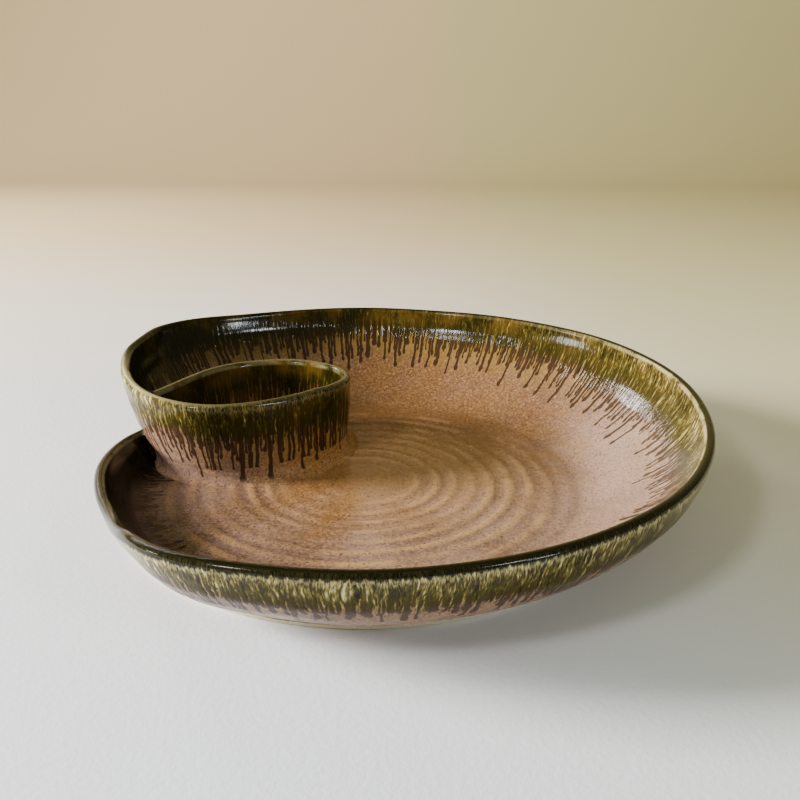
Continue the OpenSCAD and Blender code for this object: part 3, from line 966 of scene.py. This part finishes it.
def paper_sweep():
    """A pale paper sweep: flat under the object, turning up far behind it."""
    turn = np.linspace(0, math.pi / 2, 40)[1:]
    profile = [(SWEEP_FRONT, 0.0), (SWEEP_BACK, 0.0)]
    profile += [(SWEEP_BACK + SWEEP_TURN * math.sin(a), SWEEP_TURN * (1 - math.cos(a))) for a in turn]
    profile += [(SWEEP_BACK + SWEEP_TURN, SWEEP_TOP)]
    verts = [(x, y, z - SWEEP_DROP) for y, z in profile for x in (-SWEEP_HALF_WIDTH, SWEEP_HALF_WIDTH)]
    mesh = bpy.data.meshes.new("paper_sweep")
    mesh.from_pydata(verts, [], grid_faces(len(profile), 2, flip=True))
    mesh.polygons.foreach_set("use_smooth", np.ones(len(mesh.polygons), bool))
    obj = bpy.data.objects.new("paper_sweep", mesh)
    bpy.context.scene.collection.objects.link(obj)
    mesh.materials.append(pale_paper())


def pale_paper():
    """Paper with a fine tooth: cool white near the front and warm towards the back, a painted tint of the
    light on it, and yellower to the right, a painted shadow.
    """
    t = Shader("pale_paper")
    place = t.node("ShaderNodeTexCoord").outputs["Object"]
    x, y, _ = t.parts(place)
    # Cool white near the front and warm towards the back: a painted tint of the light falling on the paper.
    colour = t.mix(t.ramp_to(y, -0.25, 0.9), PAPER_NEAR, PAPER_FAR)
    # Painted shadow: a yellow-green tint on the paper to the right of the object, where its shadow falls.
    painted_shadow_tint = t.mul(t.ramp_to(x, -0.05, 0.28, 0.0, 0.8), t.ramp_to(y, -0.24, -0.06))
    colour = t.mix(painted_shadow_tint, colour, PAPER_PAINTED_SHADOW)
    tooth = t.noise(place, 420, 2, 0.6)
    colour = t.mix(t.mul(tooth, 0.10), colour, PAPER_TOOTH)
    return t.finish(colour, PAPER_ROUGHNESS, tooth, *PAPER_BUMP)


AIM = Vector((-0.014, -0.0012, 0.02))  # just above the floor, on the wheel's axis


def area_light(name, place, size, power, colour, mirrored):
    """A soft light turned to the object. Only a mirrored one shows as a highlight in the glaze."""
    data = bpy.data.lights.new(name, "AREA")
    data.shape = "RECTANGLE"
    data.size, data.size_y = size
    data.energy = power
    data.color = colour
    obj = bpy.data.objects.new(name, data)
    obj.location = place
    obj.visible_glossy = mirrored
    obj.rotation_euler = (AIM - place).to_track_quat("-Z", "Y").to_euler()
    bpy.context.scene.collection.objects.link(obj)


WARM = (1.0, 0.97, 0.93)
COOL = (0.95, 0.98, 1.0)
COOL_GREEN = (0.9, 0.97, 1.0)
LIGHTS = (  # name, direction from the object, distance, size, power, colour, mirrored
    ("window_left", (-0.93, -0.02, 0.34), 1.9, (0.55, 0.5), 142, WARM, False),
    ("left_pane", (-0.975, -0.01, 0.19), 1.75, (0.24, 0.16), 3.5, COOL, True),
    ("window_front_left", (-0.47, -0.56, 0.60), 1.6, (0.22, 0.22), 8, COOL, True),
    ("window_front_right", (0.62, -0.61, 0.50), 1.5, (0.20, 0.16), 4, COOL_GREEN, True),
    ("right_pane", (0.76, -0.59, 0.28), 1.5, (0.13, 0.20), 3.0, COOL_GREEN, True),
    ("window_back_left", (-0.60, 0.66, 0.45), 1.5, (0.30, 0.12), 5.0, COOL, True),
    ("overhead_fill", (-0.1, -0.35, 1.0), 2.0, (1.8, 1.4), 2.8, COOL, False),
)
ROOM = (0.82, 0.77, 0.45, 1)
ROOM_STRENGTH = 0.21
BACKDROP = (0.78, 0.74, 0.66, 1)
BACKDROP_STRENGTH = 0.6


def soft_room():
    """The light from all round, and the plain backdrop that a camera sees beyond the paper."""
    world = bpy.data.worlds.new("soft_room")
    bpy.context.scene.world = world
    world.use_nodes = True
    nodes, link = world.node_tree.nodes, world.node_tree.links.new
    room, backdrop = nodes["Background"], nodes.new("ShaderNodeBackground")
    for source, colour, strength in ((room, ROOM, ROOM_STRENGTH), (backdrop, BACKDROP, BACKDROP_STRENGTH)):
        source.inputs["Color"].default_value = colour
        source.inputs["Strength"].default_value = strength
    seen, either = nodes.new("ShaderNodeLightPath"), nodes.new("ShaderNodeMixShader")
    link(seen.outputs["Is Camera Ray"], either.inputs["Fac"])
    link(room.outputs[0], either.inputs[1])
    link(backdrop.outputs[0], either.inputs[2])
    link(either.outputs[0], nodes["World Output"].inputs["Surface"])


CAMERA_PLACE = (0.0025, -0.3639, 0.175)
CAMERA_DOWN = 19.56
CAMERA_ROLL = -0.32
CAMERA_LENS = 38.25


def add_camera():
    data = bpy.data.cameras.new("camera")
    data.lens = CAMERA_LENS
    data.sensor_width = 36
    data.clip_start = 0.01
    obj = bpy.data.objects.new("camera", data)
    obj.location = CAMERA_PLACE
    obj.rotation_euler = (math.radians(90 - CAMERA_DOWN), math.radians(CAMERA_ROLL), 0)
    bpy.context.scene.collection.objects.link(obj)
    bpy.context.scene.camera = obj


paper_sweep()
for name, toward, distance, size, power, colour, mirrored in LIGHTS:
    area_light(name, AIM + Vector(toward).normalized() * distance, size, power, colour, mirrored)
soft_room()
add_camera()
